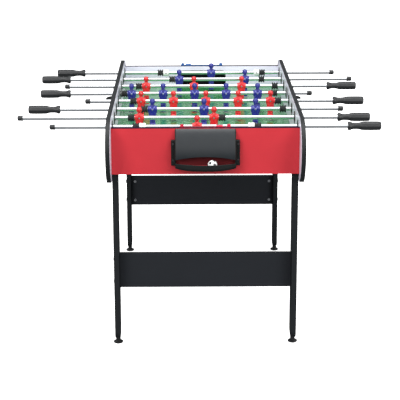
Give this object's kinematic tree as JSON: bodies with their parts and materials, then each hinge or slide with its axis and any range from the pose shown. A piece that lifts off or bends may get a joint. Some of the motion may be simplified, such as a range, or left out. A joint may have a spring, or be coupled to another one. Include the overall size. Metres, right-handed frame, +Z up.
{
  "type": "foosball table",
  "caption": "Table football game on board legs: sliding and turning player rods across a green field, ball returns, score rails and levelling feet.",
  "frame": {"origin": "on the floor, under the middle of the whole object's box with its rods at rest", "axes": "+Z up; +Y along the playing field, from the red team's goal to the blue team's goal; +X along the rods, to the side of the red team's handles"},
  "size_m": [1.1398, 1.214, 0.7393],
  "materials": {
    "black_board": "black woodgrain laminate on board, semi-matt",
    "white_board": "white laminate on the inner faces, satin",
    "red_board": "red laminate, satin",
    "edge_band": "dark edge banding",
    "green_field": "printed green playing surface, glossy",
    "leg_board": "black laminate board, semi-matt",
    "steel_rod": "polished steel tube",
    "handle_plastic": "black moulded grip",
    "cap_plastic": "black moulded cap",
    "bumper_rubber": "black rubber",
    "collar_white": "white moulded plastic",
    "red_player": "red moulded plastic, semi-gloss",
    "blue_player": "blue moulded plastic, semi-gloss",
    "black_moulding": "black moulded plastic, satin",
    "bearing_plastic": "black moulded plastic",
    "red_scorer": "red moulded plastic",
    "blue_scorer": "blue moulded plastic",
    "ball_plastic": "white ball with black patches",
    "foot_plastic": "black moulded plastic",
    "steel_fastener": "zinc-plated steel"
  },
  "bodies": {
    "table": {"side_panel_left": "black_board", "side_panel_right": "black_board", "end_panel_front": "red_board", "end_panel_rear": "red_board", "playfield": "green_field", "leg_front_left": "leg_board", "leg_front_right": "leg_board", "leg_rear_left": "leg_board", "leg_rear_right": "leg_board", "stretcher_front": "leg_board", "stretcher_rear": "leg_board", "ball_return_front": "black_moulding", "ball_return_rear": "black_moulding", "score_rail_front": "red_scorer", "score_rail_rear": "blue_scorer", "ball_entry_left": "black_moulding", "ball_entry_right": "black_moulding"},
    "foot_front_left": {"foot_front_left": "foot_plastic"},
    "foot_front_right": {"foot_front_right": "foot_plastic"},
    "foot_rear_left": {"foot_rear_left": "foot_plastic"},
    "foot_rear_right": {"foot_rear_right": "foot_plastic"},
    "score_marker_front": {"score_marker_front": "red_scorer"},
    "score_marker_rear": {"score_marker_rear": "blue_scorer"},
    "ball": {"ball": "ball_plastic"},
    "blue_goalie_slider": {"blue_goalie_bumper_left": "bumper_rubber", "blue_goalie_bumper_right": "bumper_rubber", "blue_goalie_collar_left": "collar_white", "blue_goalie_collar_right": "collar_white"},
    "blue_goalie_rod": {"blue_goalie_rod": "blue_player", "blue_goalie_handle": "handle_plastic"},
    "blue_defence_slider": {"blue_defence_bumper_left": "bumper_rubber"},
    "blue_defence_rod": {"blue_defence_rod": "blue_player", "blue_defence_handle": "handle_plastic"},
    "blue_defence_loose_bumper": {"blue_defence_bumper_right": "bumper_rubber"},
    "red_attack_slider": {"red_attack_bumper_left": "bumper_rubber"},
    "red_attack_rod": {"red_attack_rod": "red_player", "red_attack_handle": "handle_plastic"},
    "red_attack_loose_bumper": {"red_attack_bumper_right": "bumper_rubber"},
    "blue_midfield_slider": {"blue_midfield_bumper_left": "bumper_rubber"},
    "blue_midfield_rod": {"blue_midfield_rod": "blue_player", "blue_midfield_handle": "handle_plastic"},
    "blue_midfield_loose_bumper": {"blue_midfield_bumper_right": "bumper_rubber"},
    "red_midfield_slider": {"red_midfield_bumper_left": "bumper_rubber", "red_midfield_bumper_right": "bumper_rubber"},
    "red_midfield_rod": {"red_midfield_rod": "red_player", "red_midfield_handle": "handle_plastic"},
    "blue_attack_slider": {"blue_attack_bumper_left": "bumper_rubber"},
    "blue_attack_rod": {"blue_attack_rod": "blue_player", "blue_attack_handle": "handle_plastic"},
    "blue_attack_loose_bumper": {"blue_attack_bumper_right": "bumper_rubber"},
    "red_defence_slider": {"red_defence_bumper_left": "bumper_rubber", "red_defence_bumper_right": "bumper_rubber"},
    "red_defence_rod": {"red_defence_rod": "red_player", "red_defence_handle": "handle_plastic"},
    "red_goalie_slider": {"red_goalie_bumper_left": "bumper_rubber", "red_goalie_bumper_right": "bumper_rubber", "red_goalie_collar_left": "collar_white", "red_goalie_collar_right": "collar_white"},
    "red_goalie_rod": {"red_goalie_rod": "red_player", "red_goalie_handle": "handle_plastic"}
  },
  "joints": [
    {"name": "foot_front_left_screw", "type": "slide", "parent": "table", "child": "foot_front_left", "axis": [0, 0, -1], "range_m": [0, 0.012]},
    {"name": "foot_front_right_screw", "type": "slide", "parent": "table", "child": "foot_front_right", "axis": [0, 0, -1], "range_m": [0, 0.012]},
    {"name": "foot_rear_left_screw", "type": "slide", "parent": "table", "child": "foot_rear_left", "axis": [0, 0, -1], "range_m": [0, 0.012]},
    {"name": "foot_rear_right_screw", "type": "slide", "parent": "table", "child": "foot_rear_right", "axis": [0, 0, -1], "range_m": [0, 0.012]},
    {"name": "score_marker_front_slide", "type": "slide", "parent": "table", "child": "score_marker_front", "axis": [1, 0, 0], "range_m": [-0.0982, 0.0122]},
    {"name": "score_marker_rear_slide", "type": "slide", "parent": "table", "child": "score_marker_rear", "axis": [1, 0, 0], "range_m": [-0.0052, 0.1052]},
    {"name": "ball_roll", "type": "slide", "parent": "table", "child": "ball", "axis": [1, 0, 0], "range_m": [-0.053, 0.011]},
    {"name": "blue_goalie_slide", "type": "slide", "parent": "table", "child": "blue_goalie_slider", "axis": [1, 0, 0], "range_m": [-0.1193, 0.0503]},
    {"name": "blue_goalie_spin", "type": "hinge", "parent": "blue_goalie_slider", "child": "blue_goalie_rod", "pos_m": [0.05935, 0.45675, 0.6997], "axis": [1, 0, 0], "continuous": true},
    {"name": "blue_defence_slide", "type": "slide", "parent": "table", "child": "blue_defence_slider", "axis": [1, 0, 0], "range_m": [-0.16375, 0.09335]},
    {"name": "blue_defence_spin", "type": "hinge", "parent": "blue_defence_slider", "child": "blue_defence_rod", "pos_m": [0.06005, 0.32625, 0.6997], "axis": [1, 0, 0], "continuous": true},
    {"name": "blue_defence_loose_bumper_slide", "type": "slide", "parent": "table", "child": "blue_defence_loose_bumper", "axis": [1, 0, 0], "range_m": [-0.10351, 0.05902]},
    {"name": "red_attack_slide", "type": "slide", "parent": "table", "child": "red_attack_slider", "axis": [1, 0, 0], "range_m": [-0.0476, 0.1102]},
    {"name": "red_attack_spin", "type": "hinge", "parent": "red_attack_slider", "child": "red_attack_rod", "pos_m": [-0.00645, 0.19575, 0.6997], "axis": [1, 0, 0], "continuous": true},
    {"name": "red_attack_loose_bumper_slide", "type": "slide", "parent": "table", "child": "red_attack_loose_bumper", "axis": [1, 0, 0], "range_m": [-0.00805, 0.01862]},
    {"name": "blue_midfield_slide", "type": "slide", "parent": "table", "child": "blue_midfield_slider", "axis": [1, 0, 0], "range_m": [-0.001, 0.0596]},
    {"name": "blue_midfield_spin", "type": "hinge", "parent": "blue_midfield_slider", "child": "blue_midfield_rod", "pos_m": [-0.00445, 0.06525, 0.6997], "axis": [1, 0, 0], "continuous": true},
    {"name": "blue_midfield_loose_bumper_slide", "type": "slide", "parent": "table", "child": "blue_midfield_loose_bumper", "axis": [1, 0, 0], "range_m": [-0.0005, 0.02852]},
    {"name": "red_midfield_slide", "type": "slide", "parent": "table", "child": "red_midfield_slider", "axis": [1, 0, 0], "range_m": [-0.0376, 0.023]},
    {"name": "red_midfield_spin", "type": "hinge", "parent": "red_midfield_slider", "child": "red_midfield_rod", "pos_m": [0.03215, -0.06525, 0.6997], "axis": [1, 0, 0], "continuous": true},
    {"name": "blue_attack_slide", "type": "slide", "parent": "table", "child": "blue_attack_slider", "axis": [1, 0, 0], "range_m": [-0.0787, 0.0791]},
    {"name": "blue_attack_spin", "type": "hinge", "parent": "blue_attack_slider", "child": "blue_attack_rod", "pos_m": [0.02465, -0.19575, 0.6997], "axis": [1, 0, 0], "continuous": true},
    {"name": "blue_attack_loose_bumper_slide", "type": "slide", "parent": "table", "child": "blue_attack_loose_bumper", "axis": [1, 0, 0], "range_m": [-0.01564, 0.01572]},
    {"name": "red_defence_slide", "type": "slide", "parent": "table", "child": "red_defence_slider", "axis": [1, 0, 0], "range_m": [-0.03985, 0.21725]},
    {"name": "red_defence_spin", "type": "hinge", "parent": "red_defence_slider", "child": "red_defence_rod", "pos_m": [-0.06385, -0.32625, 0.6997], "axis": [1, 0, 0], "continuous": true},
    {"name": "red_goalie_slide", "type": "slide", "parent": "table", "child": "red_goalie_slider", "axis": [1, 0, 0], "range_m": [-0.0598, 0.1098]},
    {"name": "red_goalie_spin", "type": "hinge", "parent": "red_goalie_slider", "child": "red_goalie_rod", "pos_m": [-0.00015, -0.45675, 0.6997], "axis": [1, 0, 0], "continuous": true}
  ],
  "couplings": [
    {"joint": "blue_defence_loose_bumper_slide", "follows": "blue_defence_slide", "ratio": 0.632},
    {"joint": "red_attack_loose_bumper_slide", "follows": "red_attack_slide", "ratio": 0.1688},
    {"joint": "blue_midfield_loose_bumper_slide", "follows": "blue_midfield_slide", "ratio": 0.4782},
    {"joint": "blue_attack_loose_bumper_slide", "follows": "blue_attack_slide", "ratio": 0.1985}
  ]
}
